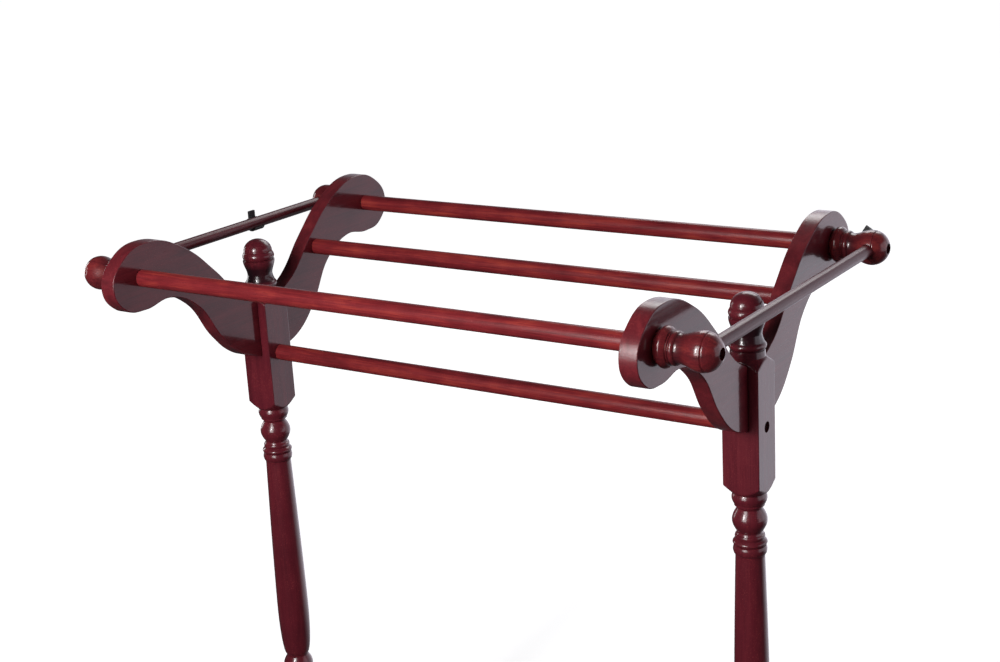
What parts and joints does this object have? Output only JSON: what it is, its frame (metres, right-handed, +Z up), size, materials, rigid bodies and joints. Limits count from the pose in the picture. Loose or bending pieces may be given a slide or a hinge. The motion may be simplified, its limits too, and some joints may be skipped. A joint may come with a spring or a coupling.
{
  "type": "trouser rack",
  "caption": "Free-standing mahogany-lacquered rack with turned posts, scroll wings and feet, hanging rails, turned knobs and round side bars.",
  "frame": {"origin": "on the floor under the middle of the rack, at the centre of the glides' contact plane", "axes": "+X along the rails to the right, -Y to the front, +Z up"},
  "size_m": [0.7332, 0.457, 0.8322],
  "materials": {
    "frame_lacquer": "high-gloss dark red mahogany lacquer over wood",
    "rail_lacquer": "gloss red mahogany lacquer, brighter along the rails",
    "steel": "zinc-plated",
    "bare_wood": "raw",
    "black_plastic": "satin moulded",
    "glide_plastic": "matt moulded"
  },
  "bodies": {
    "rack": {"bottom_rail": "rail_lacquer", "bottom_rail_left_insert": "steel", "bottom_rail_right_insert": "steel", "centre_rail": "rail_lacquer", "centre_rail_left_insert": "steel", "centre_rail_right_insert": "steel", "front_rail": "rail_lacquer", "front_rail_left_insert": "steel", "front_rail_right_insert": "steel", "left_catch_screw": "steel", "left_foot_dowel_1": "bare_wood", "left_foot_dowel_2": "bare_wood", "left_front_foot": "frame_lacquer", "left_front_glide": "glide_plastic", "left_front_knob": "frame_lacquer", "left_front_knob_bolt": "steel", "left_front_wing": "frame_lacquer", "left_lower_post_bolt": "steel", "left_post": "frame_lacquer", "left_rear_foot": "frame_lacquer", "left_rear_glide": "glide_plastic", "left_rear_knob": "frame_lacquer", "left_rear_knob_bolt": "steel", "left_rear_wing": "frame_lacquer", "left_side_bar": "frame_lacquer", "left_upper_post_bolt": "steel", "left_wing_dowel_1": "bare_wood", "left_wing_dowel_2": "bare_wood", "rear_second_rail": "rail_lacquer", "rear_upper_rail": "rail_lacquer", "rear_upper_rail_left_insert": "steel", "rear_upper_rail_right_insert": "steel", "right_catch_screw": "steel", "right_foot_dowel_1": "bare_wood", "right_foot_dowel_2": "bare_wood", "right_front_foot": "frame_lacquer", "right_front_glide": "glide_plastic", "right_front_knob": "frame_lacquer", "right_front_knob_bolt": "steel", "right_front_wing": "frame_lacquer", "right_lower_post_bolt": "steel", "right_post": "frame_lacquer", "right_rear_foot": "frame_lacquer", "right_rear_glide": "glide_plastic", "right_rear_knob": "frame_lacquer", "right_rear_knob_bolt": "steel", "right_rear_wing": "frame_lacquer", "right_side_bar": "frame_lacquer", "right_upper_post_bolt": "steel", "right_wing_dowel_1": "bare_wood", "right_wing_dowel_2": "bare_wood"},
    "left_clip": {"left_bar_clip": "black_plastic"},
    "left_catch": {"left_bar_catch": "black_plastic"},
    "right_catch": {"right_bar_catch": "black_plastic"}
  },
  "joints": [
    {"name": "left_clip_slide", "type": "slide", "parent": "rack", "child": "left_clip", "axis": [0, 1, 0], "range_m": [-0.219, 0.107]},
    {"name": "left_catch_turn", "type": "hinge", "parent": "rack", "child": "left_catch", "pos_m": [-0.3495, 0.2039, 0.797], "axis": [0, 1, 0], "continuous": true},
    {"name": "right_catch_turn", "type": "hinge", "parent": "rack", "child": "right_catch", "pos_m": [0.3495, 0.2039, 0.797], "axis": [0, 1, 0], "continuous": true}
  ]
}
